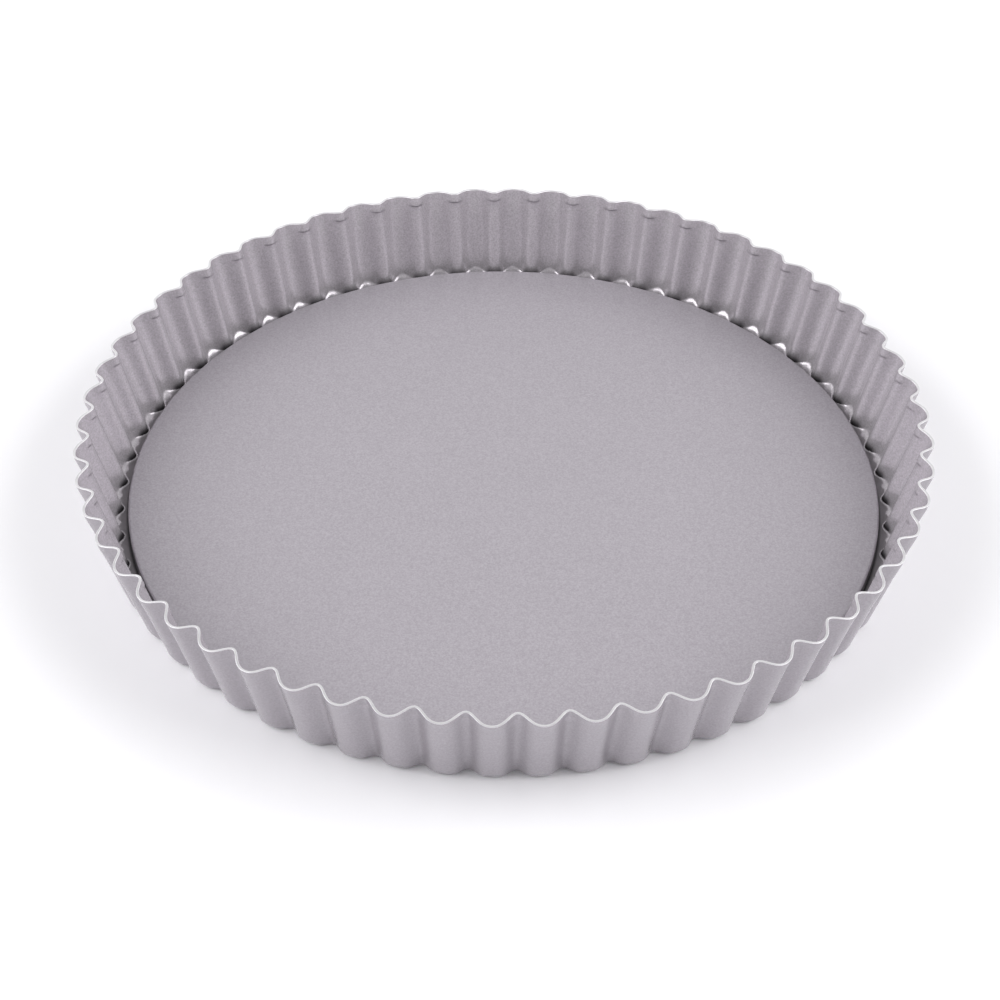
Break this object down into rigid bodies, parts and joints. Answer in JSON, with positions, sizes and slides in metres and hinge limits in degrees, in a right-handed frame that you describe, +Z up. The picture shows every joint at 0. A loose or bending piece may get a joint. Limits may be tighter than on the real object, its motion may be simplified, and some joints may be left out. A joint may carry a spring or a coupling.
{
  "type": "fluted baking pan",
  "caption": "Round fluted baking pan with a low flared wall, an inner shelf and a separate flat base that lifts out.",
  "frame": {"origin": "centre of the ring, on the plane that the pan stands on", "axes": "+Z up along the ring's axis, out of the open top; +X through the outermost line of one lobe of the flutes"},
  "size_m": [0.28, 0.2796, 0.0326],
  "materials": {
    "ring_coating": "satin grey non-stick coating on pressed steel, with a bare cut edge along the rim",
    "base_coating": "satin grey non-stick coating on flat steel sheet"
  },
  "bodies": {
    "ring": {"fluted_ring": "ring_coating"},
    "base": {"loose_base": "base_coating"}
  },
  "joints": [
    {"name": "base_lift", "type": "slide", "parent": "ring", "child": "base", "axis": [0, 0, 1], "range_m": [0, 0.04]}
  ]
}
